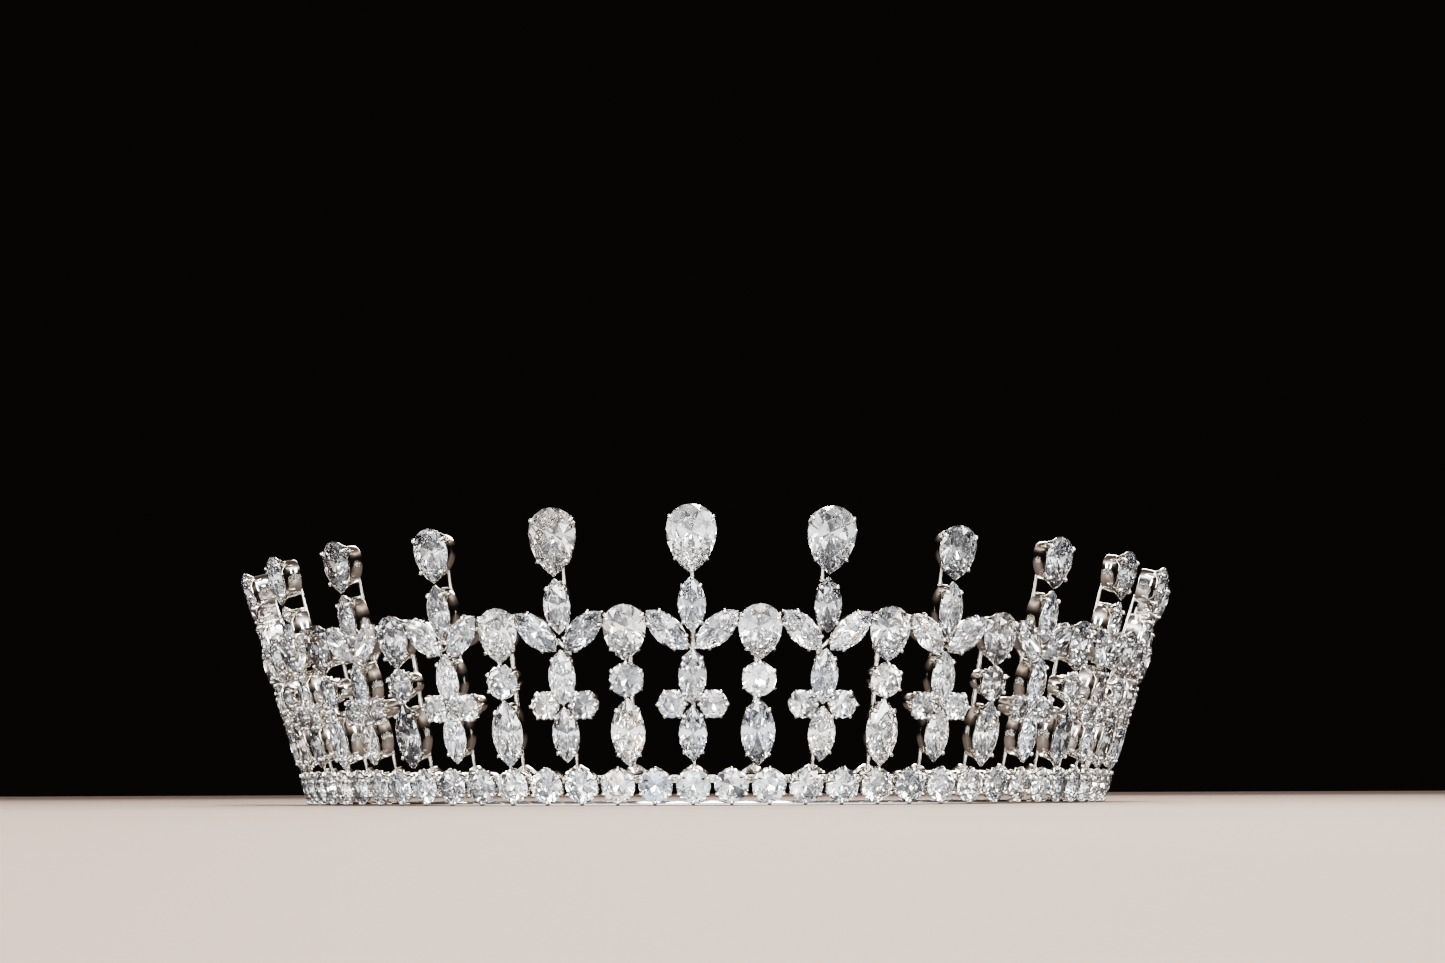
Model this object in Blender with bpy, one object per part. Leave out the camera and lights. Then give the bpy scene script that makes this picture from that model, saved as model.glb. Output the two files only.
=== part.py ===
"""Bridal tiara: a half-circle of round stones carries 13 tall spires and 12 short columns of stones.

The band leans outwards, and a little more towards its ends. Each column is modelled flat in its own
frame, x across, y inwards from the stones' girdles and z up the slope, with its origin at the girdle
centre of a base stone. It is then leaned by the flare and turned to its place round the head. The front
faces -Y and the lower rail stands on z = 0.
"""

import math

import bmesh
import bpy
from mathutils import Matrix, Vector

MM = 0.001

# The band
RING_RADIUS = 77.9 * MM  # from the head's axis to the girdles of the base stones
FLARE = math.radians(13.0)  # how far the band leans outwards at the front
END_FLARE = math.radians(7.5)  # how much further it leans a quarter of a turn away
GIRDLE_HEIGHT = 3.1 * MM  # of the base stones' centres above the table
BASE_STONES = 41
BASE_PITCH = 6.0 * MM
SPIRES = 13
STONES_PER_SPIRE = (BASE_STONES - 1) / (SPIRES - 1)  # base pitches from one spire to the next

# Stones, as length and width
BASE_ROUND = 5.5 * MM
SMALL_ROUND = 4.5 * MM
SMALL_MARQUISE = (9.0 * MM, 4.5 * MM)
LARGE_MARQUISE = (11.0 * MM, 5.5 * MM)
LARGE_PEAR = (11.0 * MM, 8.0 * MM)
SMALL_PEAR = (9.0 * MM, 7.0 * MM)
PEAR_FLANK = (0.64, -0.26)  # a shoulder's corner, as shares of the half width and of the length
LARGE_PEAR_SPIRES = 1  # spires on each side of the middle one that carry a large pear
CROWN_SLOPE = 0.3  # the crown's height as a share of the stone's half width
PAVILION_DEPTH = 2.2 * MM
TABLE_SHARE = 0.55  # of the girdle's size
BRIDGE = 0.15 * MM  # how far neighbouring stones of one node run into each other

# Claw cups
CUP_RIM = 1.1 * MM  # behind the girdle
CUP_BACK = 4.0 * MM
SEAT_DEPTH = 3.3 * MM
CUP_SHARE = 1.08  # of the stone's outline at the rim
SEAT_SHARE = 0.86
CUP_BACK_SHARE = 0.72
BASE_CUP = 5.1 * MM  # across its flats
BASE_CUP_BACK_SHARE = 0.9
BASE_LINK_REACH = 0.5 * MM  # half the length of the wire that joins two base cups
BASE_LINK_WIDTH = 0.8 * MM
BASE_LINK_DEPTHS = (1.4 * MM, 2.4 * MM)

# Wires and rails
STEM_WIDTH = 0.9 * MM
STEM_DEPTHS = (3.7 * MM, 4.6 * MM)
RAIL_DEPTHS = (4.3 * MM, 4.9 * MM)
RAIL_SLOPE_SPAN = (-0.6 * MM, 0.7 * MM)
LOWER_RAIL_INSET = (3.4 * MM, 4.6 * MM)
LOWER_RAIL_HEIGHT = 0.8 * MM
FOOT_WIDTH = 4.8 * MM
FOOT_HEIGHT = 1.4 * MM
SOLDER_GAP = 0.3 * MM
LOOP_RADIUS = 1.8 * MM
LOOP_WIRE = 0.45 * MM
LOOP_SIDES, LOOP_STEPS = 6, 12

# Places on a spire, as across and up the slope
LOWER_MARQUISE_AT = (0.0, 8.25 * MM)
SIDE_ROUND_AT = (3.3 * MM, 12.95 * MM)
UPPER_MARQUISE_AT = (0.0, 17.4 * MM)
WING_AT = (3.95 * MM, 24.7 * MM)
WING_TURN = math.radians(43.0)  # of a wing above the horizontal
TOP_MARQUISE_AT = (0.0, 28.75 * MM)
SPIRE_PEAR_TIP = 33.5 * MM
WING_BRIDGE = 0.9 * MM  # the wings' inner ends reach this much further, to meet under the top marquise
TOP_BRIDGE = 2.7 * MM

# Places on a short column
SHORT_MARQUISE_AT = (0.0, 8.55 * MM)
SHORT_ROUND_AT = (0.0, 16.9 * MM)
SHORT_PEAR_TIP = 19.9 * MM

UP = math.pi / 2
SILVER = ((0.80, 0.79, 0.77, 1.0), 1.0, 0.12)
CRYSTAL = ((0.93, 0.94, 0.96, 1.0), 0.0, 0.03)


def clear_scene():
    for old in list(bpy.data.objects):
        bpy.data.objects.remove(old, do_unlink=True)


def finish(name, look):
    colour, metallic, roughness = look
    material = bpy.data.materials.new(name)
    material.use_nodes = True
    shader = material.node_tree.nodes["Principled BSDF"]
    shader.inputs["Base Color"].default_value = colour
    shader.inputs["Metallic"].default_value = metallic
    shader.inputs["Roughness"].default_value = roughness
    material.diffuse_color = colour
    return material


# Outlines, each a ring of points about the stone's centre with its length up


def round_outline(diameter, sides, first=0.0):
    radius = diameter / 2
    turns = [first + 2 * math.pi * i / sides for i in range(sides)]
    return [Vector((radius * math.cos(turn), radius * math.sin(turn))) for turn in turns]


def marquise_outline(size, chords=3):
    """Two arcs that meet in a tip at each end, each cut into this many chords."""
    half_length, half_width = size[0] / 2, size[1] / 2
    arc = (half_length**2 + half_width**2) / (2 * half_width)
    reach = math.asin(half_length / arc)
    turns = [reach * (2 * i / chords - 1) for i in range(chords)]
    right = [Vector((arc * math.cos(turn) - arc + half_width, arc * math.sin(turn))) for turn in turns]
    return right + [-point for point in right]


def pear_outline(size):
    """A half-circle on straight-sided shoulders that run down to the tip."""
    length, width = size
    radius = width / 2
    middle = length / 2 - radius
    tip = Vector((0.0, -length / 2))
    turns = [math.pi * i / 4 for i in range(5)]
    dome = [Vector((radius * math.cos(turn), middle + radius * math.sin(turn))) for turn in turns]
    flank = Vector((PEAR_FLANK[0] * radius, PEAR_FLANK[1] * length))
    return [tip, flank] + dome + [Vector((-flank.x, flank.y))]


def pear_centre(tip_height, size):
    return (0.0, tip_height + size[0] / 2)


def stretched(outline, toward, amount):
    """The outline with its furthest point in one direction moved that much further."""
    direction = Vector((math.cos(toward), math.sin(toward)))
    furthest = max(range(len(outline)), key=lambda i: outline[i].dot(direction))
    return [point + direction * amount if i == furthest else point for i, point in enumerate(outline)]


def laid(outline, centre, turn=0.0, share=1.0, depth=0.0):
    """The outline scaled, turned and placed on the column, as points in its frame."""
    placed = []
    for point in outline:
        across = share * (point.x * math.cos(turn) - point.y * math.sin(turn))
        up = share * (point.x * math.sin(turn) + point.y * math.cos(turn))
        placed.append(Vector((centre[0] + across, depth, centre[1] + up)))
    return placed


# Closed bodies


def mesh_of(name, build):
    mesh = bpy.data.meshes.new(name)
    shape = bmesh.new()
    build(shape)
    bmesh.ops.recalc_face_normals(shape, faces=shape.faces)
    shape.to_mesh(mesh)
    shape.free()
    return mesh


def loft(rings, apex=None):
    """A cap on the first ring, walls from ring to ring, then a cap or a fan to the apex."""

    def build(shape):
        loops = [[shape.verts.new(point) for point in ring] for ring in rings]
        shape.faces.new(loops[0])
        for near, far in zip(loops, loops[1:]):
            for i in range(len(near)):
                after = (i + 1) % len(near)
                shape.faces.new((near[i], near[after], far[after], far[i]))
        last = loops[-1]
        if apex is None:
            shape.faces.new(last)
            return
        tip = shape.verts.new(apex)
        for i in range(len(last)):
            shape.faces.new((last[i], last[(i + 1) % len(last)], tip))

    return mesh_of("body", build)


def stone(outline, centre, turn=0.0):
    half_width = min(max(point.x for point in outline), max(point.y for point in outline))
    table = laid(outline, centre, turn, TABLE_SHARE, -CROWN_SLOPE * half_width)
    girdle = laid(outline, centre, turn)
    return loft([table, girdle], Vector((centre[0], PAVILION_DEPTH, centre[1])))


def cup(outline, centre, turn=0.0, rim_share=CUP_SHARE, back_share=CUP_BACK_SHARE):
    back = laid(outline, centre, turn, back_share, CUP_BACK)
    rim = laid(outline, centre, turn, rim_share, CUP_RIM)
    seat = laid(outline, centre, turn, SEAT_SHARE, CUP_RIM)
    return loft([back, rim, seat], Vector((centre[0], SEAT_DEPTH, centre[1])))


def plate(corners, depths):
    """A flat polygon across and up the slope, given a thickness."""
    return loft([[Vector((x, depth, z)) for x, z in corners] for depth in depths])


def bar(start, end, width, depths):
    """A flat wire from one place on the column to another."""
    along = (Vector(end) - Vector(start)).normalized()
    side = Vector((-along.y, along.x)) * width / 2
    start, end = Vector(start), Vector(end)
    return plate([start - side, end - side, end + side, start + side], depths)


def joined(name, meshes):
    """One mesh from bodies that run into each other."""
    scene = bpy.context.scene.collection
    others = bpy.data.collections.new("others")
    scene.children.link(others)
    bodies = [bpy.data.objects.new("body", mesh) for mesh in meshes]
    scene.objects.link(bodies[0])
    for body in bodies[1:]:
        others.objects.link(body)
    union = bodies[0].modifiers.new("union", "BOOLEAN")
    union.operation = "UNION"
    union.operand_type = "COLLECTION"
    union.collection = others
    graph = bpy.context.evaluated_depsgraph_get()
    result = bpy.data.meshes.new_from_object(bodies[0].evaluated_get(graph))
    result.name = name
    for body in bodies:
        bpy.data.objects.remove(body, do_unlink=True)
    for mesh in meshes:
        bpy.data.meshes.remove(mesh)
    bpy.data.collections.remove(others)
    return result


# Columns


def spire_stations(pear_size):
    """Every stone of a spire: outline, centre, turn, and the directions in which it meets another."""
    down = -UP
    marquise = marquise_outline(SMALL_MARQUISE)
    middle_bridges = [(UP, BRIDGE), (down, BRIDGE)]
    stations = [
        (marquise, LOWER_MARQUISE_AT, 0.0, middle_bridges),
        (marquise, UPPER_MARQUISE_AT, 0.0, middle_bridges),
        (marquise, TOP_MARQUISE_AT, 0.0, [(UP, 2 * BRIDGE), (down, TOP_BRIDGE)]),
        (pear_outline(pear_size), pear_centre(SPIRE_PEAR_TIP, pear_size), 0.0, [(down, BRIDGE)]),
    ]
    reach = SIDE_ROUND_AT[0] - SMALL_ROUND / 2 + BRIDGE
    for side in (-1, 1):
        inner = math.pi if side > 0 else 0.0
        small_round = round_outline(SMALL_ROUND, 6, inner)
        stations.append((small_round, (side * SIDE_ROUND_AT[0], SIDE_ROUND_AT[1]), 0.0, [(inner, reach)]))
        turn = -side * (UP - WING_TURN)
        stations.append((marquise, (side * WING_AT[0], WING_AT[1]), turn, [(down, WING_BRIDGE)]))
    return stations


def short_stations():
    down = -UP
    pear = pear_outline(SMALL_PEAR)
    return [
        (marquise_outline(LARGE_MARQUISE), SHORT_MARQUISE_AT, 0.0, [(UP, BRIDGE)]),
        (round_outline(BASE_ROUND, 6, UP), SHORT_ROUND_AT, 0.0, [(UP, BRIDGE), (down, BRIDGE)]),
        (pear, pear_centre(SHORT_PEAR_TIP, SMALL_PEAR), 0.0, [(down, 2 * BRIDGE)]),
    ]


def stones_mesh(name, stations):
    bodies = []
    for outline, centre, turn, bridges in stations:
        for toward, amount in bridges:
            outline = stretched(outline, toward, amount)
        bodies.append(stone(outline, centre, turn))
    return joined(name, bodies)


def frame_mesh(name, stations, cross_bars):
    """The cups of a column on their stem, with a foot that stands on the upper rail."""
    bodies = [cup(outline, centre, turn) for outline, centre, turn, bridges in stations]
    top = max(centre[1] for outline, centre, turn, bridges in stations)
    foot_bottom = RAIL_SLOPE_SPAN[1] + SOLDER_GAP
    foot_top = foot_bottom + FOOT_HEIGHT
    half_foot, half_stem = FOOT_WIDTH / 2, STEM_WIDTH / 2
    foot = [(-half_foot, foot_bottom), (half_foot, foot_bottom)]
    foot += [(half_stem, foot_top), (-half_stem, foot_top)]
    step_height = stations[0][1][1] - SMALL_MARQUISE[0] / 2
    bodies.append(plate(foot, RAIL_DEPTHS))
    bodies.append(bar((0, foot_top - half_stem), (0, step_height + STEM_WIDTH), STEM_WIDTH, RAIL_DEPTHS))
    bodies.append(bar((0, step_height), (0, top), STEM_WIDTH, STEM_DEPTHS))
    bodies += [bar(start, end, STEM_WIDTH, STEM_DEPTHS) for start, end in cross_bars]
    return joined(name, bodies)


def spire_cross_bars():
    across, height = SIDE_ROUND_AT
    wing_root = WING_AT[1] - WING_AT[0] * math.tan(WING_TURN)
    rounds = [((-across, height), (across, height))]
    wings = [((0.0, wing_root), (side * WING_AT[0], WING_AT[1])) for side in (-1, 1)]
    return rounds + wings


# Places round the head


def base_turn(index):
    """The turn of a base stone, or of a place between two, counted from the middle."""
    return index * BASE_PITCH / RING_RADIUS


def flare(turn):
    return FLARE + END_FLARE * (turn / UP) ** 2


def place(turn):
    where = Matrix.Rotation(turn, 4, "Z") @ Matrix.Translation((0.0, -RING_RADIUS, GIRDLE_HEIGHT))
    return where @ Matrix.Rotation(flare(turn), 4, "X")


def row_mesh(name, body, link=None):
    """One base stone or cup repeated round the head, with a link between neighbours, joined into one."""
    reach = (BASE_STONES - 1) / 2
    places = [(body, index - reach) for index in range(BASE_STONES)]
    if link:
        places += [(link, index + 0.5 - reach) for index in range(BASE_STONES - 1)]
    bodies = []
    for original, index in places:
        mesh = original.copy()
        mesh.transform(place(base_turn(index)))
        bodies.append(mesh)
    return joined(name, bodies)


def rail_mesh(section):
    """A strip round the head, one facet behind each base stone. The section gives its corners at a turn."""
    stops = [base_turn(index - BASE_STONES / 2) for index in range(BASE_STONES + 1)]
    return loft([section(turn) for turn in stops])


def upper_section(turn):
    (near, far), (low, high) = RAIL_DEPTHS, RAIL_SLOPE_SPAN
    corners = [(near, low), (far, low), (far, high), (near, high)]
    return [place(turn) @ Vector((0.0, depth, up)) for depth, up in corners]


def lower_section(turn):
    near, far = LOWER_RAIL_INSET
    corners = [(near, 0.0), (far, 0.0), (far, LOWER_RAIL_HEIGHT), (near, LOWER_RAIL_HEIGHT)]
    ring = Matrix.Rotation(turn, 3, "Z")
    return [ring @ Vector((0.0, inset - RING_RADIUS, height)) for inset, height in corners]


def loop_mesh():
    """A closed ring of wire, lying in the slope of the band."""

    def build(shape):
        rings = []
        for step in range(LOOP_STEPS):
            turn = 2 * math.pi * step / LOOP_STEPS
            ring = []
            for side in range(LOOP_SIDES):
                bend = 2 * math.pi * side / LOOP_SIDES
                radius = LOOP_RADIUS + LOOP_WIRE * math.cos(bend)
                spot = (radius * math.cos(turn), LOOP_WIRE * math.sin(bend), radius * math.sin(turn))
                ring.append(shape.verts.new(spot))
            rings.append(ring)
        for step, ring in enumerate(rings):
            after = rings[(step + 1) % LOOP_STEPS]
            for i in range(LOOP_SIDES):
                j = (i + 1) % LOOP_SIDES
                shape.faces.new((ring[i], ring[j], after[j], after[i]))

    mesh = mesh_of("end_loop", build)
    mesh.shade_smooth()
    return mesh


def add_piece(name, mesh, material, axis, turn=None, offset=(0.0, 0.0, 0.0)):
    """Adds a node. One with a turn is modelled in a column's frame and stands at its place."""
    if not mesh.materials:
        mesh.materials.append(material)
    piece = bpy.data.objects.new(name, mesh)
    bpy.context.scene.collection.objects.link(piece)
    piece.parent = axis
    if turn is not None:
        piece.location = place(turn) @ Vector(offset)
        piece.rotation_euler = (flare(turn), 0.0, turn)
    return piece


def add_band(axis, silver, crystal):
    add_piece("upper_rail", rail_mesh(upper_section), silver, axis)
    add_piece("lower_rail", rail_mesh(lower_section), silver, axis)
    hexagon = round_outline(BASE_CUP / math.cos(math.pi / 6), 6)
    base_cup = cup(hexagon, (0.0, 0.0), rim_share=1.0, back_share=BASE_CUP_BACK_SHARE)
    link = bar((-BASE_LINK_REACH, 0.0), (BASE_LINK_REACH, 0.0), BASE_LINK_WIDTH, BASE_LINK_DEPTHS)
    add_piece("base_collets", row_mesh("base_collets", base_cup, link), silver, axis)
    girdle = round_outline(BASE_ROUND, 8)
    reach = (BASE_PITCH - BASE_ROUND) / 2 + BRIDGE
    for toward in (0.0, math.pi):
        girdle = stretched(girdle, toward, reach)
    add_piece("base_stones", row_mesh("base_stones", stone(girdle, (0.0, 0.0))), crystal, axis)
    loop = loop_mesh()
    end = base_turn(BASE_STONES / 2)
    rail_middle = (RAIL_SLOPE_SPAN[0] + RAIL_SLOPE_SPAN[1]) / 2
    across = SOLDER_GAP + LOOP_RADIUS + LOOP_WIRE
    depth = (RAIL_DEPTHS[0] + RAIL_DEPTHS[1]) / 2
    for side, name in ((-1, "end_loop_left"), (1, "end_loop_right")):
        add_piece(name, loop, silver, axis, side * end, (side * across, depth, rail_middle))


def add_columns(axis, silver, crystal):
    cross_bars = spire_cross_bars()
    kinds = {}
    for kind, pear_size in (("large", LARGE_PEAR), ("small", SMALL_PEAR)):
        stations = spire_stations(pear_size)
        frame = frame_mesh("spire_frame_" + kind, stations, cross_bars)
        kinds[kind] = (frame, stones_mesh("spire_stones_" + kind, stations))
    middle = (SPIRES - 1) // 2
    for number in range(SPIRES):
        from_middle = number - middle
        frame, stones = kinds["large" if abs(from_middle) <= LARGE_PEAR_SPIRES else "small"]
        turn = base_turn(from_middle * STONES_PER_SPIRE)
        add_piece(f"spire_frame_{number + 1:02d}", frame, silver, axis, turn)
        add_piece(f"spire_stones_{number + 1:02d}", stones, crystal, axis, turn)
    stations = short_stations()
    frame = frame_mesh("short_frame", stations, [])
    stones = stones_mesh("short_stones", stations)
    for number in range(SPIRES - 1):
        turn = base_turn((number - middle + 0.5) * STONES_PER_SPIRE)
        add_piece(f"short_frame_{number + 1:02d}", frame, silver, axis, turn)
        add_piece(f"short_stones_{number + 1:02d}", stones, crystal, axis, turn)


def centre_depth(axis):
    """Moves the head's axis so that the tiara's middle, front to back, is at y = 0."""
    bpy.context.view_layer.update()
    depths = []
    for piece in axis.children:
        depths += [(piece.matrix_world @ vertex.co).y for vertex in piece.data.vertices]
    axis.location.y = -(min(depths) + max(depths)) / 2


def main():
    clear_scene()
    axis = bpy.data.objects.new("head_axis", None)
    bpy.context.scene.collection.objects.link(axis)
    silver = finish("rhodium_silver", SILVER)
    crystal = finish("clear_crystal", CRYSTAL)
    add_band(axis, silver, crystal)
    add_columns(axis, silver, crystal)
    centre_depth(axis)


main()
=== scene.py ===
import math

import bmesh
import bpy
from mathutils import Matrix, Vector


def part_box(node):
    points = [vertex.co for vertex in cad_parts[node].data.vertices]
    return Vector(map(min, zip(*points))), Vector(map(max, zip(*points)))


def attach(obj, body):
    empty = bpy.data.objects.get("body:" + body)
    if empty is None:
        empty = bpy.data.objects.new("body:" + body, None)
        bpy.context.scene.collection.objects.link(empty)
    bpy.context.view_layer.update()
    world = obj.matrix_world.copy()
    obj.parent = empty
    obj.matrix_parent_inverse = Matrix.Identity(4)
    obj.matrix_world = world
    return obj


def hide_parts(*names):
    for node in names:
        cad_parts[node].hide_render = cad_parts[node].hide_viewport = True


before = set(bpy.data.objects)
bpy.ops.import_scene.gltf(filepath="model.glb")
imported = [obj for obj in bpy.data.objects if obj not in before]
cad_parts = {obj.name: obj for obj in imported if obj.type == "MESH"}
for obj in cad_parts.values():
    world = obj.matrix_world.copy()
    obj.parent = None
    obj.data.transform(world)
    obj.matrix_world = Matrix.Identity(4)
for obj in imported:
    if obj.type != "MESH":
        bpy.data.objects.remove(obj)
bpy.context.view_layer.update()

# The rails
# Two flat strips of silver, rolled, bent round the head and rounded at their edges. The base row is
# soldered to the upper one's outer face, and the lower one carries the tiara on the table.

MM = 0.001
RING_RADIUS = 77.9 * MM  # from the head's axis to the girdles of the base stones
FLARE = math.radians(13.0)  # how far the band leans outwards at the front
END_FLARE = math.radians(7.5) / (math.pi / 2) ** 2  # how much further, over the turn from the front squared
GIRDLE_HEIGHT = 3.1 * MM
BASE_STONES = 41
TURN_PER_STONE = 6.0 * MM / RING_RADIUS
RAIL_ROUNDING = 0.16 * MM
UPPER_RAIL = (0.6 * MM, 1.3 * MM)  # thickness and width
UPPER_RAIL_PLACE = (4.6 * MM, 0.05 * MM)  # inwards from the girdles, and up the slope
rail_low, rail_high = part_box("lower_rail")
HEAD_AXIS = Vector((0.0, rail_low.y + rail_high.x * math.cos(TURN_PER_STONE / 2), 0.0))
LOWER_RAIL = (1.2 * MM, rail_high.z - rail_low.z)
RAIL_STEPS = 320


class Wire:
    """A socket in a node tree: sums and products on it add Math nodes, and node() adds any other node."""

    def __init__(self, tree, socket=None):
        self.tree = tree
        self.socket = socket

    def node(self, kind, settings=None, sockets=None, out=0):
        made = self.tree.nodes.new(kind)
        for name, value in (settings or {}).items():
            if name == "stops":
                elements = made.color_ramp.elements
                for spot, (place, colour) in enumerate(value):
                    stop = elements[spot] if spot < len(elements) else elements.new(place)
                    stop.position = place
                    stop.color = colour
            else:
                setattr(made, name, value)
        for name, value in (sockets or {}).items():
            socket = next(s for s in made.inputs if s.name == name and s.enabled)
            if isinstance(value, Wire):
                self.tree.links.new(value.socket, socket)
            else:
                socket.default_value = value
        outputs = [s for s in made.outputs if s.enabled]
        return Wire(self.tree, outputs[out])

    def sum_up(self, operation, *values):
        made = self.tree.nodes.new("ShaderNodeMath")
        made.operation = operation
        for socket, value in zip(made.inputs, values):
            if isinstance(value, Wire):
                self.tree.links.new(value.socket, socket)
            else:
                socket.default_value = value
        return Wire(self.tree, made.outputs[0])

    def __add__(self, other):
        return self.sum_up("ADD", self, other)

    __radd__ = __add__

    def __sub__(self, other):
        return self.sum_up("SUBTRACT", self, other)

    def __rsub__(self, other):
        return self.sum_up("SUBTRACT", other, self)

    def __mul__(self, other):
        return self.sum_up("MULTIPLY", self, other)

    __rmul__ = __mul__

    def __gt__(self, other):
        return self.sum_up("GREATER_THAN", self, other)


def shader(name, **constants):
    """A material whose Principled shader has these plain values. Returns it with its tree and shader."""
    material = bpy.data.materials.new(name)
    material.use_nodes = True
    principled = material.node_tree.nodes["Principled BSDF"]
    for socket, value in constants.items():
        principled.inputs[socket.replace("_", " ")].default_value = value
    return material, Wire(material.node_tree), principled.inputs


def polished_silver():
    """Rhodium-plated silver, polished by hand: faint clouds of wear, hairline scratches and a soft wave."""
    material, tree, inputs = shader("polished_silver", Metallic=1.0, IOR=1.5)
    where = tree.node("ShaderNodeTexCoord", out=3)
    clouds = tree.node("ShaderNodeTexNoise", None, {"Vector": where, "Scale": 260.0, "Detail": 3.0})
    grain = tree.node("ShaderNodeTexNoise", None, {"Vector": where, "Scale": 1400.0, "Detail": 2.0})
    stops = [(0.3, (0.80, 0.775, 0.74, 1)), (0.62, (0.93, 0.92, 0.905, 1))]
    colour = tree.node("ShaderNodeValToRGB", {"stops": stops}, {"Fac": clouds})
    roughness = 0.04 + clouds * 0.08 + grain * 0.04
    bump = tree.node("ShaderNodeBump", None, {"Height": grain, "Strength": 0.02, "Distance": 0.00005})
    for wire, socket in ((colour, "Base Color"), (roughness, "Roughness"), (bump, "Normal")):
        tree.tree.links.new(wire.socket, inputs[socket])
    return material


SILVER = polished_silver()
CARRIER = bpy.data.meshes.new("carrier")


def geometry_tree(name, sockets):
    """An empty tree with named inputs. Returns it, and a wire from each input by name."""
    tree = bpy.data.node_groups.new(name, "GeometryNodeTree")
    tree.interface.new_socket("Geometry", in_out="OUTPUT", socket_type="NodeSocketGeometry")
    for socket, kind in {"Geometry": "Geometry", **sockets, "Material": "Material"}.items():
        tree.interface.new_socket(socket, in_out="INPUT", socket_type="NodeSocket" + kind)
    start = tree.nodes.new("NodeGroupInput")
    return Wire(tree), {s.name: Wire(tree, s) for s in start.outputs if s.name}


def end_tree(tree, shape, material):
    """Makes the copies real, gives them their material and ends the tree."""
    real = tree.node("GeometryNodeRealizeInstances", None, {"Geometry": shape})
    painted = tree.node("GeometryNodeSetMaterial", None, {"Geometry": real, "Material": material})
    finish = tree.tree.nodes.new("NodeGroupOutput")
    tree.tree.links.new(painted.socket, finish.inputs[0])
    return tree.tree


def made_by(tree, name, source=CARRIER, **values):
    """The plain object that a tree makes from a source mesh and its inputs' values."""
    carrier = bpy.data.objects.new(name + "_carrier", source)
    bpy.context.scene.collection.objects.link(carrier)
    modifier = carrier.modifiers.new("tree", "NODES")
    modifier.node_group = tree
    for socket in tree.interface.items_tree:
        if socket.in_out == "INPUT" and socket.name.replace(" ", "_") in values:
            modifier[socket.identifier] = values[socket.name.replace(" ", "_")]
    graph = bpy.context.evaluated_depsgraph_get()
    mesh = bpy.data.meshes.new_from_object(
        carrier.evaluated_get(graph), preserve_all_data_layers=True, depsgraph=graph
    )
    bpy.data.objects.remove(carrier)
    mesh.name = name
    piece = bpy.data.objects.new(name, mesh)
    bpy.context.scene.collection.objects.link(piece)
    return piece


def fitted(piece, node):
    """Fixes a finished piece to the tiara in place of its plain CAD node."""
    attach(piece, "root")
    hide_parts(node)


def band_place(tree, given, turn):
    """Where the band's girdles stand at a turn from the front, and how the band leans and turns there."""
    across = turn.sum_up("SINE", turn) * given["Radius"]
    along = given["Axis"] - turn.sum_up("COSINE", turn) * given["Radius"]
    spot = tree.node("ShaderNodeCombineXYZ", None, {"X": across, "Y": along, "Z": given["Height"]})
    flare = given["Flare"] + given["End Flare"] * turn * turn
    return spot, tree.node("ShaderNodeCombineXYZ", None, {"X": flare, "Z": turn}), flare


BAND_SIZES = {name: "Float" for name in ("Radius", "Height", "Axis", "Flare", "End Flare")}
BAND = {
    "Radius": RING_RADIUS, "Height": GIRDLE_HEIGHT, "Axis": HEAD_AXIS.y,
    "Flare": FLARE, "End_Flare": END_FLARE,
}


def rail_tree():
    """A rounded flat strip swept along the band, inwards from the girdles."""
    sizes = ("Sweep", "Depth", "Up", "Thickness", "Width", "Rounding")
    tree, given = geometry_tree("bent_rail", BAND_SIZES | {name: "Float" for name in sizes})
    line = tree.node("GeometryNodeMeshLine", None, {"Count": RAIL_STEPS + 1})
    line = tree.node("GeometryNodeMeshToCurve", None, {"Mesh": line})
    index = tree.node("GeometryNodeInputIndex")
    turn = (index * (1 / RAIL_STEPS) - 0.5) * given["Sweep"]
    spot, lean, flare = band_place(tree, given, turn)
    inside = tree.node("ShaderNodeCombineXYZ", None, {"Y": given["Depth"], "Z": given["Up"]})
    inside = tree.node(
        "ShaderNodeVectorRotate", {"rotation_type": "EULER_XYZ"}, {"Vector": inside, "Rotation": lean}
    )
    line = tree.node(
        "GeometryNodeSetPosition", None, {"Geometry": line, "Position": spot, "Offset": inside}
    )
    line = tree.node("GeometryNodeSetCurveNormal", {"mode": "Z_UP"}, {"Curve": line})
    line = tree.node("GeometryNodeSetCurveTilt", None, {"Curve": line, "Tilt": flare})
    strip = tree.node(
        "GeometryNodeCurvePrimitiveQuadrilateral", None,
        {"Width": given["Thickness"], "Height": given["Width"]},
    )
    strip = tree.node(
        "GeometryNodeFilletCurve", {"mode": "POLY"},
        {"Curve": strip, "Count": 3, "Radius": given["Rounding"]},
    )
    sockets = {"Curve": line, "Profile Curve": strip, "Fill Caps": True}
    body = tree.node("GeometryNodeCurveToMesh", None, sockets)
    return end_tree(tree, body, given["Material"])


RAIL_TREE = rail_tree()
LOWER_PLACE = (RING_RADIUS - rail_high.x + LOWER_RAIL[0] / 2, LOWER_RAIL[1] / 2)
UPRIGHT = BAND | {"Height": 0.0, "Flare": 0.0, "End_Flare": 0.0}
for rail_name, (thickness, width), (depth, up), band in (
    ("upper_rail", UPPER_RAIL, UPPER_RAIL_PLACE, BAND),
    ("lower_rail", LOWER_RAIL, LOWER_PLACE, UPRIGHT),
):
    rail = made_by(
        RAIL_TREE, rail_name + "_strip", Sweep=BASE_STONES * TURN_PER_STONE, Depth=depth, Up=up,
        Thickness=thickness, Width=width, Rounding=RAIL_ROUNDING, Material=SILVER, **band,
    )
    fitted(rail, rail_name)

# The claw settings
# Each stone sits in a basket of silver sheet: a short tube behind it that opens into petals under the
# girdle, and round claws that run up between the petals and are pressed over the crown.

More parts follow.
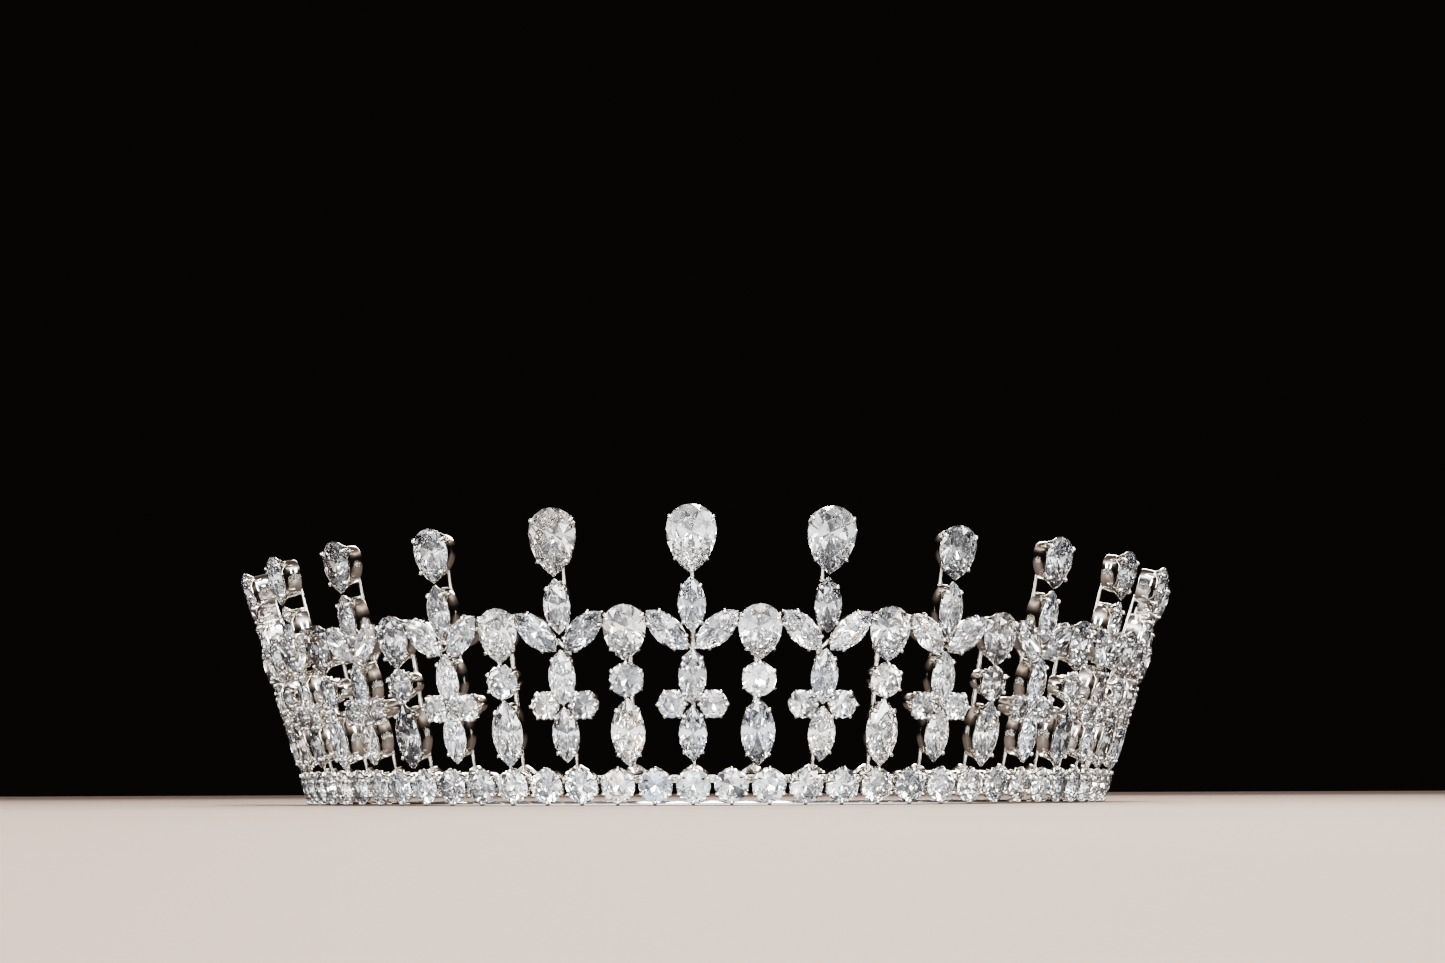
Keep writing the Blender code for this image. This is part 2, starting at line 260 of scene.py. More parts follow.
SIDES = 48
CLAW_SIDES = 8
TUBE_INSET = 0.32  # from the stone's outline to the tube, as a share of the stone's half width
CLAW_PATH = (  # out from the outline, share of the tube's inset, depth behind the girdle, and radius
    (0.0, 1.0, 2.60, 0.20), (0.0, 0.92, 1.50, 0.26), (0.0, 0.40, 0.80, 0.28), (0.06, 0.0, 0.25, 0.28),
    (0.08, 0.0, -0.10, 0.28), (-0.02, 0.0, -0.38, 0.33), (-0.22, 0.0, -0.48, 0.35),
    (-0.40, 0.0, -0.54, 0.28), (-0.50, 0.0, -0.58, 0.15),
)
WALL = (  # the wall's section round from the petal's rim, in the same terms, with the share of a slot
    (-0.04, 0.0, 0.26, 1.0), (-0.06, 0.0, 0.42, 1.0), (-0.04, 0.45, 0.95, 0.4), (0.0, 1.0, 1.50, 0.0),
    (0.0, 1.06, 2.60, 0.0), (0.0, 1.12, 3.84, 0.0), (-0.10, 1.12, 4.0, 0.0), (-0.28, 1.12, 4.0, 0.0),
    (-0.32, 1.10, 3.80, 0.0), (-0.26, 1.06, 2.60, 0.0), (-0.26, 1.0, 1.60, 0.0),
    (-0.28, 0.45, 1.10, 0.4), (-0.24, 0.0, 0.50, 1.0), (-0.18, 0.0, 0.28, 1.0),
)
SLOT_DEPTH = 1.1
SLOT_HALF_WIDTH = 1.2


def round_outline(diameter, count):
    radius = diameter / 2
    turns = [math.pi / 2 + 2 * math.pi * i / count for i in range(count)]
    return [Vector((radius * math.cos(turn), radius * math.sin(turn))) for turn in turns]


def marquise_outline(length, width, count):
    """Two arcs that meet in a point at each end, from the upper point round by the left."""
    arc = (length**2 + width**2) / (4 * width)
    reach = math.asin(length / 2 / arc)
    half = count // 2
    turns = [reach * (1 - 2 * i / half) for i in range(half)]
    left = [Vector((arc - width / 2 - arc * math.cos(turn), arc * math.sin(turn))) for turn in turns]
    return left + [-point for point in left]


def pear_outline(length, width, count):
    """A half-circle whose sides run on in gentler arcs to a point at the bottom."""
    radius = width / 2
    middle = length / 2 - radius
    drop = length / 2 + middle
    offset = (drop**2 - radius**2) / (2 * radius)
    flank = radius + offset
    reach = math.asin(drop / flank)
    quarter = count // 4
    left = []
    for i in range(quarter):
        turn = math.pi / 2 + math.pi / 2 * i / quarter
        left.append(Vector((radius * math.cos(turn), middle + radius * math.sin(turn))))
    for i in range(quarter):
        turn = reach * i / quarter
        left.append(Vector((offset - flank * math.cos(turn), middle - flank * math.sin(turn))))
    right = [Vector((-point.x, point.y)) for point in left[1:]]
    return left + [Vector((0.0, -length / 2))] + right[::-1]


def nearest(outline, where):
    return min(range(len(outline)), key=lambda i: (outline[i] - where).length)


def outward(outline, i):
    along = outline[(i + 1) % len(outline)] - outline[i - 1]
    return Vector((along.y, -along.x)).normalized()


def add_tube(shape, path, radii, sides):
    """A round bar along a path, closed by a point at each end."""
    rings = []
    for i, (spot, radius) in enumerate(zip(path, radii)):
        before, after = path[max(i - 1, 0)], path[min(i + 1, len(path) - 1)]
        turn = (after - before).normalized().to_track_quat("Z", "Y").to_matrix()
        ring = []
        for side in range(sides):
            bend = 2 * math.pi * side / sides
            out = turn @ Vector((math.cos(bend), math.sin(bend), 0.0))
            ring.append(shape.verts.new(spot + out * radius))
        rings.append(ring)
    for near, far in zip(rings, rings[1:]):
        for i in range(sides):
            j = (i + 1) % sides
            shape.faces.new((near[i], near[j], far[j], far[i]))
    for ring, spot in ((rings[0], path[0]), (rings[-1], path[-1])):
        tip = shape.verts.new(spot)
        for i in range(sides):
            shape.faces.new((ring[i], ring[(i + 1) % sides], tip))


def part_mesh(name, build, smooth=True):
    """A closed mesh in millimetres, brought to metres, with its faces outwards."""
    shape = bmesh.new()
    build(shape)
    bmesh.ops.recalc_face_normals(shape, faces=shape.faces)
    bmesh.ops.scale(shape, vec=Vector((MM, MM, MM)), verts=shape.verts)
    mesh = bpy.data.meshes.new(name)
    shape.to_mesh(mesh)
    shape.free()
    if smooth:
        mesh.shade_smooth()
        mesh.set_sharp_from_angle(angle=math.radians(50))
    return mesh


def setting_mesh(name, outline, half_width, claw_spots):
    """The basket of one stone: a wall with slots where the claws stand, and the claws."""
    claws = [nearest(outline, spot) for spot in claw_spots]
    tube_inset = TUBE_INSET * half_width

    def build(shape):
        sections = []
        for i, point in enumerate(outline):
            away = min((point - outline[claw]).length for claw in claws)
            slot = SLOT_DEPTH * max(0.0, 1.0 - away / SLOT_HALF_WIDTH) ** 0.7
            out = outward(outline, i)
            section = []
            for offset, inward, depth, share in WALL:
                spot = point + out * (offset - inward * tube_inset)
                section.append(shape.verts.new((spot.x, depth + slot * share, spot.y)))
            sections.append(section)
        for i, section in enumerate(sections):
            after = sections[(i + 1) % len(sections)]
            for j in range(len(WALL)):
                k = (j + 1) % len(WALL)
                shape.faces.new((section[j], section[k], after[k], after[j]))
        for claw in claws:
            foot, out = outline[claw], outward(outline, claw)
            path = []
            for offset, inward, depth, radius in CLAW_PATH:
                spot = foot + out * (offset - inward * tube_inset)
                path.append(Vector((spot.x, depth, spot.y)))
            add_tube(shape, path, [row[-1] for row in CLAW_PATH], CLAW_SIDES)

    return part_mesh(name, build)


def ring_claws(diameter, count, first):
    turns = [first + 2 * math.pi * i / count for i in range(count)]
    return [Vector((math.cos(turn), math.sin(turn))) * diameter / 2 for turn in turns]


END_CLAW_REACH = 0.8  # across, as a share of the half width


def end_claws(length, width, upper, lower):
    """Two claws near each end of a long stone, at these shares of its half length."""
    spots = []
    for share in (upper, -lower):
        spots += [Vector((side * END_CLAW_REACH * width / 2, share * length / 2)) for side in (-1, 1)]
    return spots


# name, outline maker, its sizes in millimetres, and where its claws stand
CUTS = (
    ("0_base_round", round_outline, (5.5,), ring_claws(5.5, 6, math.pi / 2)),
    ("1_small_round", round_outline, (4.5,), ring_claws(4.5, 6, 0.0)),
    ("2_small_marquise", marquise_outline, (9.0, 4.5), end_claws(9.0, 4.5, 0.64, 0.66)),
    ("3_large_marquise", marquise_outline, (11.0, 5.5), end_claws(11.0, 5.5, 0.64, 0.66)),
    ("4_small_pear", pear_outline, (9.0, 7.0), end_claws(9.0, 7.0, 0.62, 0.66)),
    ("5_large_pear", pear_outline, (11.0, 8.0), end_claws(11.0, 8.0, 0.66, 0.68)),
)
CUT_NUMBER = {name[2:]: number for number, (name, maker, sizes, spots) in enumerate(CUTS)}
SETTING_PARTS = bpy.data.collections.new("setting_parts")
for cut_name, maker, sizes, spots in CUTS:
    mesh = setting_mesh("setting_" + cut_name, maker(*sizes, SIDES), sizes[-1] / 2, spots)
    SETTING_PARTS.objects.link(bpy.data.objects.new("setting_" + cut_name, mesh))

# The crystals
# Colourless crystals cut as brilliants: a table with star, kite and girdle facets above the girdle, and
# mains that run to a point below it, silvered behind with foil. They are ground and polished facet by
# facet and held by the claws.

TABLE_SHARE = 0.60
STAR_SHARE = 0.84
PAVILION_SHARE = 0.70
CROWN_SLOPE = 0.26  # crown height over the stone's half width
PAVILION_SLOPE = 0.84
GIRDLE = 0.10  # thickness in millimetres
MAINS = 8
PEAR_CULET = 0.7  # how far up a pear its point lies, from the middle to the half-circle's centre


def stone_mesh(name, outline, half_width, centre):
    """A brilliant on an outline of sixteen girdle points, with a foil mark on its facets below them."""
    crown, depth = CROWN_SLOPE * half_width, PAVILION_SLOPE * half_width
    eighth = math.cos(math.pi / MAINS)
    star_height = crown * (1 - (STAR_SHARE * eighth - TABLE_SHARE) / (1 - TABLE_SHARE))
    waist_depth = depth * (1 - PAVILION_SHARE * eighth)

    def build(shape):
        foil = shape.faces.layers.float.new("foil")

        def ring(points, share, depth_here):
            spots = [centre + (point - centre) * share for point in points]
            return [shape.verts.new((spot.x, depth_here, spot.y)) for spot in spots]

        table = ring(outline[::2], TABLE_SHARE, -GIRDLE / 2 - crown)
        star = ring(outline[1::2], STAR_SHARE, -GIRDLE / 2 - star_height)
        upper = ring(outline, 1.0, -GIRDLE / 2)
        lower = ring(outline, 1.0, GIRDLE / 2)
        waist = ring(outline[1::2], PAVILION_SHARE, GIRDLE / 2 + waist_depth)
        culet = shape.verts.new((centre.x, GIRDLE / 2 + depth, centre.y))
        shape.faces.new(table)
        for j in range(MAINS):
            k = (j + 1) % MAINS
            here, between, there = 2 * j, 2 * j + 1, 2 * k
            shape.faces.new((table[j], table[k], star[j]))
            shape.faces.new((table[j], star[j], upper[here], star[j - 1]))
            shape.faces.new((culet, waist[j], lower[here], waist[j - 1]))[foil] = 1.0
            for a, b in ((here, between), (between, there)):
                shape.faces.new((star[j], upper[a], upper[b]))
                shape.faces.new((upper[a], upper[b], lower[b], lower[a]))
                shape.faces.new((waist[j], lower[a], lower[b]))[foil] = 1.0

    return part_mesh(name, build, smooth=False)


def clear_crystal():
    """Clear crystal, silvered where it is foiled. Its facets are painted light and shade, random greys from
    dark to white, and a few are painted with flashes of blue or amber fire.
    """
    material, tree, inputs = shader("clear_crystal", Transmission_Weight=1.0, IOR=1.95)
    facet = tree.node("ShaderNodeAttribute", {"attribute_name": "facet"}, out=2)
    # painted light and shade: each facet gets a random grey from dark to white in place of its sparkle
    painted_facet_shade_stops = [(0.0, (0.30, 0.30, 0.32, 1)), (0.25, (0.80, 0.81, 0.82, 1)), (0.6, (1, 1, 1, 1))]
    painted_facet_shade = tree.node("ShaderNodeValToRGB", {"stops": painted_facet_shade_stops}, {"Fac": facet})
    # painted fire: a few facets are painted pale blue and a few pale amber, as flashes of dispersed light
    flashes = tree.node("ShaderNodeTexWhiteNoise", {"noise_dimensions": "1D"}, {"W": facet * 91.0})
    sockets = {"Factor": flashes > 0.95, "A": painted_facet_shade, "B": (0.87, 0.92, 1.0, 1)}
    blue = tree.node("ShaderNodeMix", {"data_type": "RGBA"}, sockets)
    sockets = {"Factor": 1 - (flashes > 0.05), "A": blue, "B": (1.0, 0.92, 0.84, 1)}
    fire = tree.node("ShaderNodeMix", {"data_type": "RGBA"}, sockets)
    where = tree.node("ShaderNodeTexCoord", out=3)
    smudge = tree.node("ShaderNodeTexNoise", None, {"Vector": where, "Scale": 340.0, "Detail": 2.0})
    foil = tree.node("ShaderNodeAttribute", {"attribute_name": "foil"}, out=2)
    tree.tree.links.new(foil.socket, inputs["Metallic"])
    tree.tree.links.new(fire.socket, inputs["Base Color"])
    tree.tree.links.new((smudge * 0.03).socket, inputs["Roughness"])
    return material


CRYSTAL = clear_crystal()
STONE_PARTS = bpy.data.collections.new("stone_parts")
for cut_name, maker, sizes, spots in CUTS:
    half_width = sizes[-1] / 2
    culet_place = Vector((0.0, 0.0))
    if maker is pear_outline:
        culet_place.y = PEAR_CULET * (sizes[0] / 2 - half_width)
    mesh = stone_mesh("stone_" + cut_name, maker(*sizes, 2 * MAINS), half_width, culet_place)
    STONE_PARTS.objects.link(bpy.data.objects.new("stone_" + cut_name, mesh))

# The base row
# Forty-one round crystals in six-claw cups, set side by side on the rails. Each cup touches the next and a
# drop of solder joins the two behind the girdles.


def facet_shade_marks(tree, shape, seed):
    """Gives each facet a random number of its own, which sets the painted light and shade of the crystal's
    facets.
    """
    chance = tree.node("FunctionNodeRandomValue", {"data_type": "FLOAT"}, {"Seed": seed})
    return tree.node(
        "GeometryNodeStoreNamedAttribute", {"data_type": "FLOAT", "domain": "FACE"},
        {"Geometry": shape, "Name": "facet", "Value": chance},
    )


def row_tree():
    """Copies of one part at even turns round the head, leaned with the band."""
    sockets = {"Part": "Object", "Count": "Int", "Turn": "Float", "Spin": "Float", "Seed": "Int"}
    tree, given = geometry_tree("base_row", BAND_SIZES | sockets)
    points = tree.node("GeometryNodeMeshLine", None, {"Count": given["Count"]})
    index = tree.node("GeometryNodeInputIndex")
    turn = (index - 0.5 * (given["Count"] - 1)) * given["Turn"]
    spot, lean = band_place(tree, given, turn)[:2]
    points = tree.node("GeometryNodeSetPosition", None, {"Geometry": points, "Position": spot})
    part = tree.node("GeometryNodeObjectInfo", None, {"Object": given["Part"]}, out=4)
    sockets = {"Points": points, "Instance": part, "Rotation": lean}
    row = tree.node("GeometryNodeInstanceOnPoints", None, sockets)
    chance = tree.node(
        "FunctionNodeRandomValue", {"data_type": "FLOAT"},
        {"Min": -1.0 * given["Spin"], "Max": given["Spin"], "Seed": given["Seed"]},
    )
    spin = tree.node("ShaderNodeCombineXYZ", None, {"Y": chance})
    row = tree.node("GeometryNodeRotateInstances", None, {"Instances": row, "Rotation": spin})
    row = tree.node("GeometryNodeRealizeInstances", None, {"Geometry": row})
    return end_tree(tree, facet_shade_marks(tree, row, given["Seed"]), given["Material"])


ROW_TREE = row_tree()
BASE_SETTING = SETTING_PARTS.objects["setting_0_base_round"]
BASE_STONE = STONE_PARTS.objects["stone_0_base_round"]
SETTING_SPIN = 0.05  # radians that a cup may be turned about its stone's axis
STONE_SPIN = 0.4
for row_name, part, node, material, slot, spin, seed in (
    ("base_row_settings", BASE_SETTING, "base_collets", SILVER, "rhodium_silver", SETTING_SPIN, 3),
    ("base_row_crystals", BASE_STONE, "base_stones", CRYSTAL, "clear_crystal", STONE_SPIN, 5),
):
    row = made_by(
        ROW_TREE, row_name, Part=part, Count=BASE_STONES, Turn=TURN_PER_STONE,
        Spin=spin, Seed=seed, Material=material, **BAND,
    )
    fitted(row, node)

# The tall spires
# Thirteen stems of silver wire, each soldered by a splayed foot to the upper rail. A stem carries a
# marquise, a pair of rounds on a cross wire, a marquise, two marquises spread as wings, one more above
# them and a pear.

SPIRES = 13
STONES_PER_SPIRE = (BASE_STONES - 1) / (SPIRES - 1)
LARGE_PEAR_SPIRES = 1  # on each side of the middle one
WIRE_DEPTH = 4.15
STONE_TILT = math.radians(1.5)  # each basket sits a little askew on its wire
STEM_RADIUS = 0.42
STEM_FOOT = 1.6  # where a stem starts, up the slope
SIDE_ROUNDS = (3.3, 12.95)  # across and up the slope, in millimetres
WINGS = (3.95, 24.7)
WING_TURN = math.radians(47.0)
WING_ROOT = 20.9
SPIRE_PEAR_TIP = 33.5
SPIRE_STONES = [
    ("small_marquise", 0.0, 8.25, 0.0),
    ("small_round", -SIDE_ROUNDS[0], SIDE_ROUNDS[1], 0.0),
    ("small_round", SIDE_ROUNDS[0], SIDE_ROUNDS[1], 0.0),
    ("small_marquise", 0.0, 17.4, 0.0),
    ("small_marquise", -WINGS[0], WINGS[1], WING_TURN),
    ("small_marquise", WINGS[0], WINGS[1], -WING_TURN),
    ("small_marquise", 0.0, 28.75, 0.0),
]
FOOT = [(-2.4, 1.0), (2.4, 1.0), (2.2, 1.25), (0.42, 2.4), (-0.42, 2.4), (-2.2, 1.25)]
FOOT_DEPTHS = (4.35, 4.85)


def station_mesh(name, stations):
    """A point at each stone's place on a column, with the number of its cut and its turn."""
    mesh = bpy.data.meshes.new(name)
    mesh.from_pydata([(across * MM, 0.0, up * MM) for cut, across, up, turn in stations], [], [])
    cuts = mesh.attributes.new("cut", "INT", "POINT")
    cuts.data.foreach_set("value", [CUT_NUMBER[cut] for cut, across, up, turn in stations])
    turns = mesh.attributes.new("turn", "FLOAT", "POINT")
    turns.data.foreach_set("value", [turn for cut, across, up, turn in stations])
    return mesh


def wirework(name, wires):
    """The wires of a column, each a list of places on it, and the foot that they stand on."""

    def build(shape):
        for places, radius in wires:
            path = [Vector((across, WIRE_DEPTH, up)) for across, up in places]
            radii = [radius * 0.6] + [radius] * (len(path) - 2) + [radius * 0.6]
            add_tube(shape, path, radii, CLAW_SIDES)
        near, far = ([shape.verts.new((x, depth, z)) for x, z in FOOT] for depth in FOOT_DEPTHS)
        shape.faces.new(near)
        shape.faces.new(far[::-1])
        for i in range(len(FOOT)):
            j = (i + 1) % len(FOOT)
            shape.faces.new((near[i], near[j], far[j], far[i]))

    return bpy.data.objects.new(name, part_mesh(name, build))


def wire_between(start, end, steps=3):
    return [tuple(a + (b - a) * i / steps for a, b in zip(start, end)) for i in range(steps + 1)]


def column_tree():
    """The parts of a column on its stations, leaned by the flare and turned to its place on the head."""
    sockets = {"Parts": "Collection", "Wires": "Object", "Turn": "Float", "Tilt": "Float", "Seed": "Int"}
    tree, given = geometry_tree("column", BAND_SIZES | sockets)
    cut = tree.node("GeometryNodeInputNamedAttribute", {"data_type": "INT"}, {"Name": "cut"})
    turn = tree.node("GeometryNodeInputNamedAttribute", {"data_type": "FLOAT"}, {"Name": "turn"})
    tilts = [
        tree.node(
            "FunctionNodeRandomValue", {"data_type": "FLOAT"},
            {"Min": -1.0 * given["Tilt"], "Max": given["Tilt"], "Seed": given["Seed"] + step},
        )
        for step in (0, 1000, 2000)
    ]
    sockets = {"X": tilts[0], "Y": tilts[1] - turn, "Z": tilts[2]}
    turn = tree.node("ShaderNodeCombineXYZ", None, sockets)
    parts = tree.node(
        "GeometryNodeCollectionInfo", None,
        {"Collection": given["Parts"], "Separate Children": True, "Reset Children": True},
    )
    points = tree.node("GeometryNodeMeshToPoints", None, {"Mesh": given["Geometry"]})
    sockets = {"Points": points, "Instance": parts, "Rotation": turn}
    sockets |= {"Pick Instance": True, "Instance Index": cut}
    stones = tree.node("GeometryNodeInstanceOnPoints", None, sockets)
    wires = tree.node("GeometryNodeObjectInfo", None, {"Object": given["Wires"]}, out=4)
    joined = tree.node("GeometryNodeJoinGeometry", None, {"Geometry": stones})
    tree.tree.links.new(wires.socket, joined.socket.node.inputs[0])
    real = tree.node("GeometryNodeRealizeInstances", None, {"Geometry": joined})
    spot, lean = band_place(tree, given, given["Turn"])[:2]
    sockets = {"Geometry": real, "Translation": spot, "Rotation": lean}
    placed = tree.node("GeometryNodeTransform", None, sockets)
    return end_tree(tree, facet_shade_marks(tree, placed, given["Seed"]), given["Material"])


COLUMN_TREE = column_tree()
NOTHING = bpy.data.objects.new("nothing", bpy.data.meshes.new("nothing"))


def column(kind, number, stations, wires, index, seed):
    """The silver and the crystals of one column, in place of its two CAD nodes."""
    for what, parts, extra, material, slot in (
        ("frame", SETTING_PARTS, wires, SILVER, "rhodium_silver"),
        ("stones", STONE_PARTS, NOTHING, CRYSTAL, "clear_crystal"),
    ):
        piece = made_by(
            COLUMN_TREE, f"{kind}_{number:02d}_{what}", stations, Parts=parts, Wires=extra,
            Turn=index * TURN_PER_STONE, Tilt=STONE_TILT, Seed=seed, Material=material, **BAND,
        )
        fitted(piece, f"{kind}_{what}_{number:02d}")


SPIRE_TOP = 36.0
CROSS_RADIUS = STEM_RADIUS * 0.85
SPIRE_WIRES = [
    (wire_between((0.0, STEM_FOOT), (0.0, SPIRE_TOP), 6), STEM_RADIUS),
    (wire_between((-SIDE_ROUNDS[0], SIDE_ROUNDS[1]), SIDE_ROUNDS), CROSS_RADIUS),
    (wire_between((0.0, WING_ROOT), (-WINGS[0], WINGS[1])), CROSS_RADIUS),
    (wire_between((0.0, WING_ROOT), WINGS), CROSS_RADIUS),
]
SPIRE_WIREWORK = wirework("spire_wires", SPIRE_WIRES)
SPIRE_KINDS = {}
for pear in ("small_pear", "large_pear"):
    half_length = CUTS[CUT_NUMBER[pear]][2][0] / 2
    top_stone = (pear, 0.0, SPIRE_PEAR_TIP + half_length, 0.0)
    SPIRE_KINDS[pear] = station_mesh("spire_with_" + pear, SPIRE_STONES + [top_stone])
for number in range(1, SPIRES + 1):
    from_middle = number - (SPIRES + 1) // 2
    pear = "large_pear" if abs(from_middle) <= LARGE_PEAR_SPIRES else "small_pear"
    place = from_middle * STONES_PER_SPIRE
    column("spire", number, SPIRE_KINDS[pear], SPIRE_WIREWORK, place, 100 + number)

# The short columns
# Twelve lower stems between the spires, made in the same way: a large marquise, a round and a pear.

SHORT_PEAR_TIP = 19.9
SHORT_STONES = [
    ("large_marquise", 0.0, 8.55, 0.0),
    ("base_round", 0.0, 16.9, 0.0),
    ("small_pear", 0.0, SHORT_PEAR_TIP + 4.5, 0.0),
]
SHORT_STATIONS = station_mesh("short_column", SHORT_STONES)
SHORT_TOP = 25.0
SHORT_STEM = (wire_between((0.0, STEM_FOOT), (0.0, SHORT_TOP), 5), STEM_RADIUS)
SHORT_WIREWORK = wirework("short_wires", [SHORT_STEM])
for number in range(1, SPIRES):
    place = (number - SPIRES / 2) * STONES_PER_SPIRE
    column("short", number, SHORT_STATIONS, SHORT_WIREWORK, place, 200 + number)

# The end loops
# A small ring of round silver wire soldered to each end of the band, for a ribbon or a hair pin.

LOOP_RADIUS = 1.8 * MM
LOOP_WIRE = 0.42 * MM
LOOP_STEPS = 48
LOOP_SIDES = 14
LOOP_GAP = 2.5 * MM  # from the band's end to the ring's centre


def loop_tree():
    """A ring of wire that stands on a point of the band's end."""
    sizes = ("Loop", "Wire", "Across", "Depth", "Up", "Turn")
    tree, given = geometry_tree("end_loop", BAND_SIZES | {name: "Float" for name in sizes})
    ring, wire = (
        tree.node("GeometryNodeCurvePrimitiveCircle", None, {"Resolution": steps, "Radius": given[size]})
        for steps, size in ((LOOP_STEPS, "Loop"), (LOOP_SIDES, "Wire"))
    )
    body = tree.node("GeometryNodeCurveToMesh", None, {"Curve": ring, "Profile Curve": wire})
    upright = tree.node("ShaderNodeCombineXYZ", None, {"X": math.pi / 2})
    offset = tree.node(
        "ShaderNodeCombineXYZ", None, {"X": given["Across"], "Y": given["Depth"], "Z": given["Up"]}
    )
    sockets = {"Geometry": body, "Translation": offset, "Rotation": upright}
    body = tree.node("GeometryNodeTransform", None, sockets)
    spot, lean = band_place(tree, given, given["Turn"])[:2]
    sockets = {"Geometry": body, "Translation": spot, "Rotation": lean}
    body = tree.node("GeometryNodeTransform", None, sockets)
    return end_tree(tree, body, given["Material"])


LOOP_TREE = loop_tree()
for side, node in ((-1, "end_loop_left"), (1, "end_loop_right")):
    loop = made_by(
        LOOP_TREE, node + "_wire", Loop=LOOP_RADIUS, Wire=LOOP_WIRE, Across=side * LOOP_GAP,
        Depth=UPPER_RAIL_PLACE[0], Up=UPPER_RAIL_PLACE[1], Material=SILVER,
        Turn=side * BASE_STONES / 2 * TURN_PER_STONE, **BAND,
    )
    fitted(loop, node)

# The studio
# A pale matt table under soft lamps, with a dark wall far behind, and the camera low in front.

FLOOR_RADIUS = 4.0


def pale_table():
    material, tree, inputs = shader("pale_table", Roughness=0.7)
    where = tree.node("ShaderNodeTexCoord", out=3)
    mottle = tree.node("ShaderNodeTexNoise", None, {"Vector": where, "Scale": 9.0, "Detail": 4.0})
    stops = [(0.35, (0.52, 0.42, 0.37, 1)), (0.65, (0.55, 0.445, 0.39, 1))]
    colour = tree.node("ShaderNodeValToRGB", {"stops": stops}, {"Fac": mottle})
    tree.tree.links.new(colour.socket, inputs["Base Color"])
    return material


table = bpy.data.meshes.new("table_top")
shape = bmesh.new()
bmesh.ops.create_circle(shape, cap_ends=True, segments=96, radius=FLOOR_RADIUS)
shape.to_mesh(table)
shape.free()
table.materials.append(pale_table())
table = bpy.data.objects.new("table_top", table)
bpy.context.scene.collection.objects.link(table)
table.visible_transmission = False
table.visible_glossy = False

LAMPS = (  # place, target, size across and along, power
    ((0.06, -0.22, 0.42), (0.0, -0.01, 0.03), (0.16, 0.10), 2.0),
    ((0.05, -0.62, 0.10), (0.0, 0.0, 0.02), (0.50, 0.16), 2.5),
    ((-0.50, -0.20, 0.22), (0.0, 0.0, 0.02), (0.08, 0.30), 0.8),
    ((0.50, -0.24, 0.26), (0.0, 0.0, 0.02), (0.08, 0.30), 0.9),
    ((0.05, 0.45, 0.40), (0.0, 0.0, 0.02), (0.40, 0.12), 1.2),
)
for number, (spot, target, size, power) in enumerate(LAMPS):
    lamp = bpy.data.lights.new(f"soft_lamp_{number}", "AREA")
    lamp.shape = "RECTANGLE"
    lamp.size, lamp.size_y = size
    lamp.energy = power
    lamp.color = (1.0, 0.975, 0.94)
    holder = bpy.data.objects.new(f"soft_lamp_{number}", lamp)
    holder.location = spot
    holder.rotation_euler = (Vector(target) - Vector(spot)).to_track_quat("-Z", "Y").to_euler()
    bpy.context.scene.collection.objects.link(holder)

world = bpy.data.worlds.new("studio")
bpy.context.scene.world = world
world.use_nodes = True
air = Wire(world.node_tree)
looking = air.node("ShaderNodeTexCoord", out=0)
along, height = (air.node("ShaderNodeSeparateXYZ", None, {"Vector": looking}, out=out) for out in (1, 2))
BANDS = (  # place from the ground below, 0, to overhead, 1, and how bright the studio is there
    (0.0, 0.3), (0.3, 1.5), (0.44, 1.1), (0.5, 0.1), (0.62, 0.12),
    (0.72, 0.9), (0.8, 3.4), (0.88, 0.9), (1.0, 0.4),
)
stops = [(spot, (light, light, light, 1)) for spot, light in BANDS]
glow = air.node("ShaderNodeValToRGB", {"stops": stops}, {"Fac": height * 0.5 + 0.5})
stops = [(0.1, (0.12, 0.10, 0.09, 1)), (0.5, (0.26, 0.215, 0.185, 1)), (0.86, (1.0, 1.0, 1.0, 1))]
facing = air.node("ShaderNodeValToRGB", {"stops": stops}, {"Fac": 0.5 - along * 0.5})
sockets = {"Factor": 1.0, "A": glow, "B": facing}
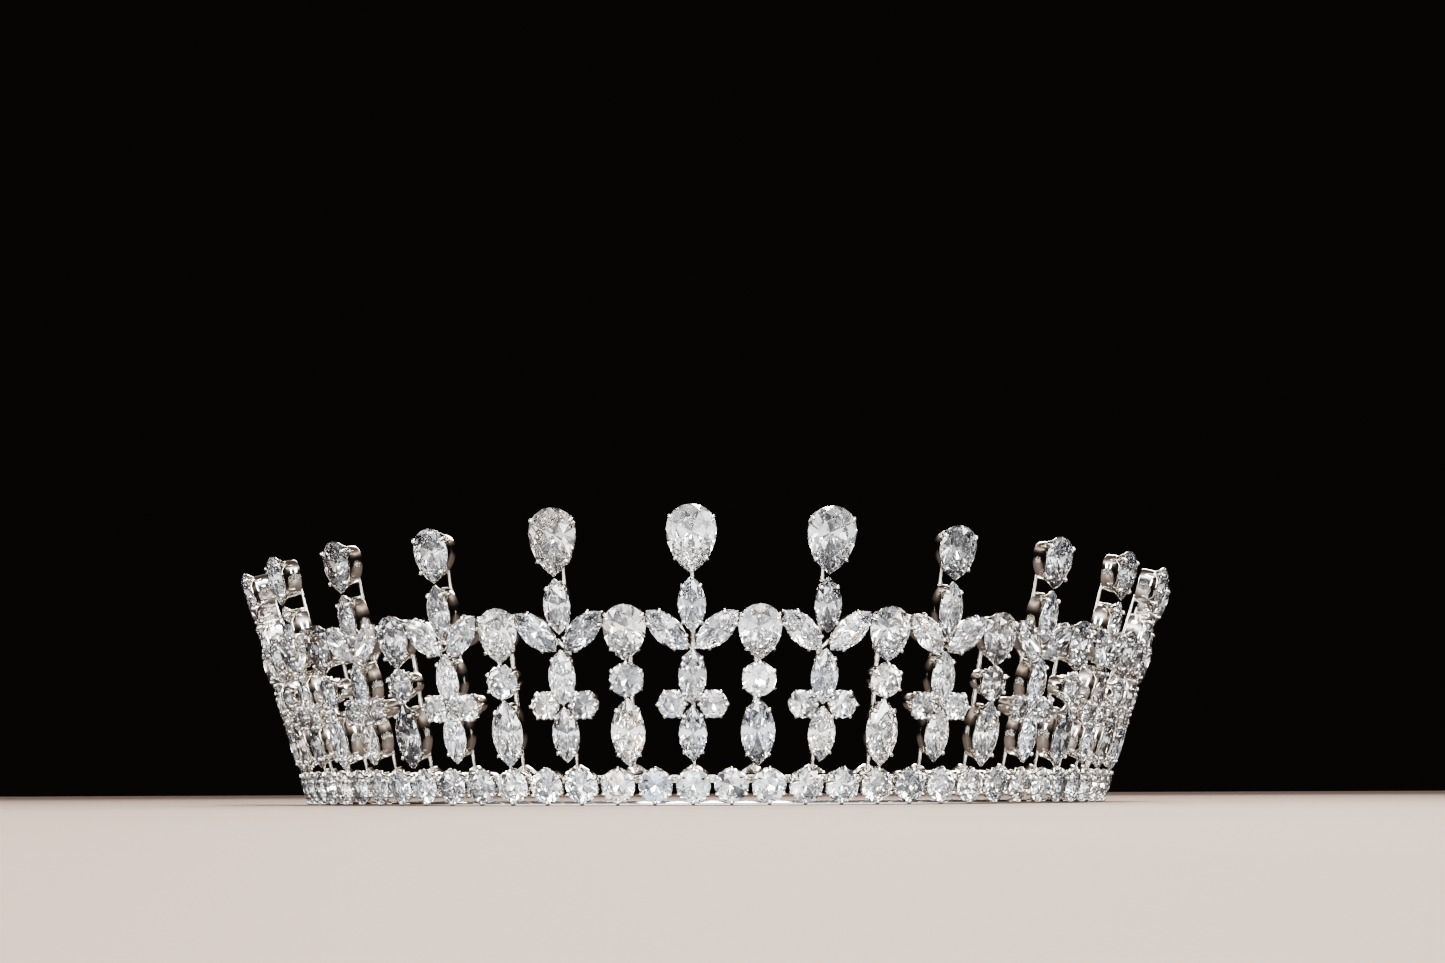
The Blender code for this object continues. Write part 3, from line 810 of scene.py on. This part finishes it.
glow = air.node("ShaderNodeMix", {"data_type": "RGBA", "blend_type": "MULTIPLY"}, sockets)
MATT_DIMMING = 0.75  # the surroundings light the table less than they show in the crystals
on_matt = air.node("ShaderNodeLightPath", out=2)
sockets = {"Factor": on_matt * MATT_DIMMING, "A": glow, "B": (0.0, 0.0, 0.0, 1)}
glow = air.node("ShaderNodeMix", {"data_type": "RGBA"}, sockets)
seen = air.node("ShaderNodeLightPath")
sockets = {"Factor": seen, "A": glow, "B": (0.012, 0.010, 0.009, 1)}
backdrop = air.node("ShaderNodeMix", {"data_type": "RGBA"}, sockets, out=0)
world.node_tree.links.new(backdrop.socket, world.node_tree.nodes["Background"].inputs["Color"])

camera = bpy.data.cameras.new("camera")
camera.sensor_width = 36.0
camera.lens = 45.03
camera.clip_start = 0.01
camera.dof.use_dof = False
AZIMUTH, YAW, PITCH, ROLL = (math.radians(angle) for angle in (1.58, -0.52, 9.77, -0.24))
DISTANCE, CAMERA_HEIGHT = 0.36598, 0.002
heading = AZIMUTH + YAW
forward = Vector(
    (-math.sin(heading) * math.cos(PITCH), math.cos(heading) * math.cos(PITCH), math.sin(PITCH))
)
right = Vector((math.cos(heading), math.sin(heading), 0.0))
up = right.cross(forward)
right, up = right * math.cos(ROLL) + up * math.sin(ROLL), up * math.cos(ROLL) - right * math.sin(ROLL)
view = bpy.data.objects.new("camera", camera)
view.matrix_world = Matrix((right, up, -forward)).transposed().to_4x4()
view.location = HEAD_AXIS + Vector(
    (DISTANCE * math.sin(AZIMUTH), -DISTANCE * math.cos(AZIMUTH), CAMERA_HEIGHT)
)
bpy.context.scene.collection.objects.link(view)
bpy.context.scene.camera = view

bpy.context.scene.view_settings.look = "AgX - High Contrast"
LIGHT_BOUNCES = 24  # light is thrown about between a crystal's table and its foiled back before it leaves
bpy.context.scene.cycles.max_bounces = LIGHT_BOUNCES
bpy.context.scene.cycles.glossy_bounces = LIGHT_BOUNCES
bpy.context.scene.cycles.transmission_bounces = LIGHT_BOUNCES
